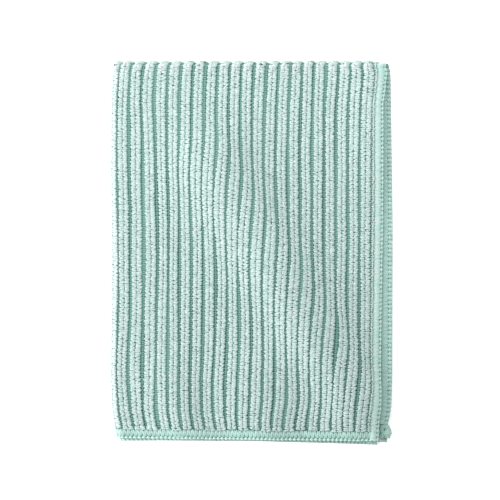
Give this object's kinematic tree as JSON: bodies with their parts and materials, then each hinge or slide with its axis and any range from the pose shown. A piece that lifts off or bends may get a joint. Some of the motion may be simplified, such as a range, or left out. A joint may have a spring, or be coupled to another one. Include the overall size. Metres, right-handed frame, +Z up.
{
  "type": "folded ribbed kitchen cloth",
  "caption": "A ribbed terry kitchen cloth with overlocked hems, dry, folded in four and lying flat, its ribs running lengthwise.",
  "frame": {"origin": "under the middle of the folded cloth's bounding box, on the surface it lies on", "axes": "+X across the ribs, from the left fold to the open side hems; +Y along the ribs, from the open bottom hems to the top fold; +Z up from the surface"},
  "size_m": [0.1496, 0.2034, 0.0179],
  "materials": {
    "cloth": "looped terry pile in pale mint green, matte"
  },
  "bodies": {
    "root": {"folded_cloth": "cloth"}
  },
  "joints": []
}
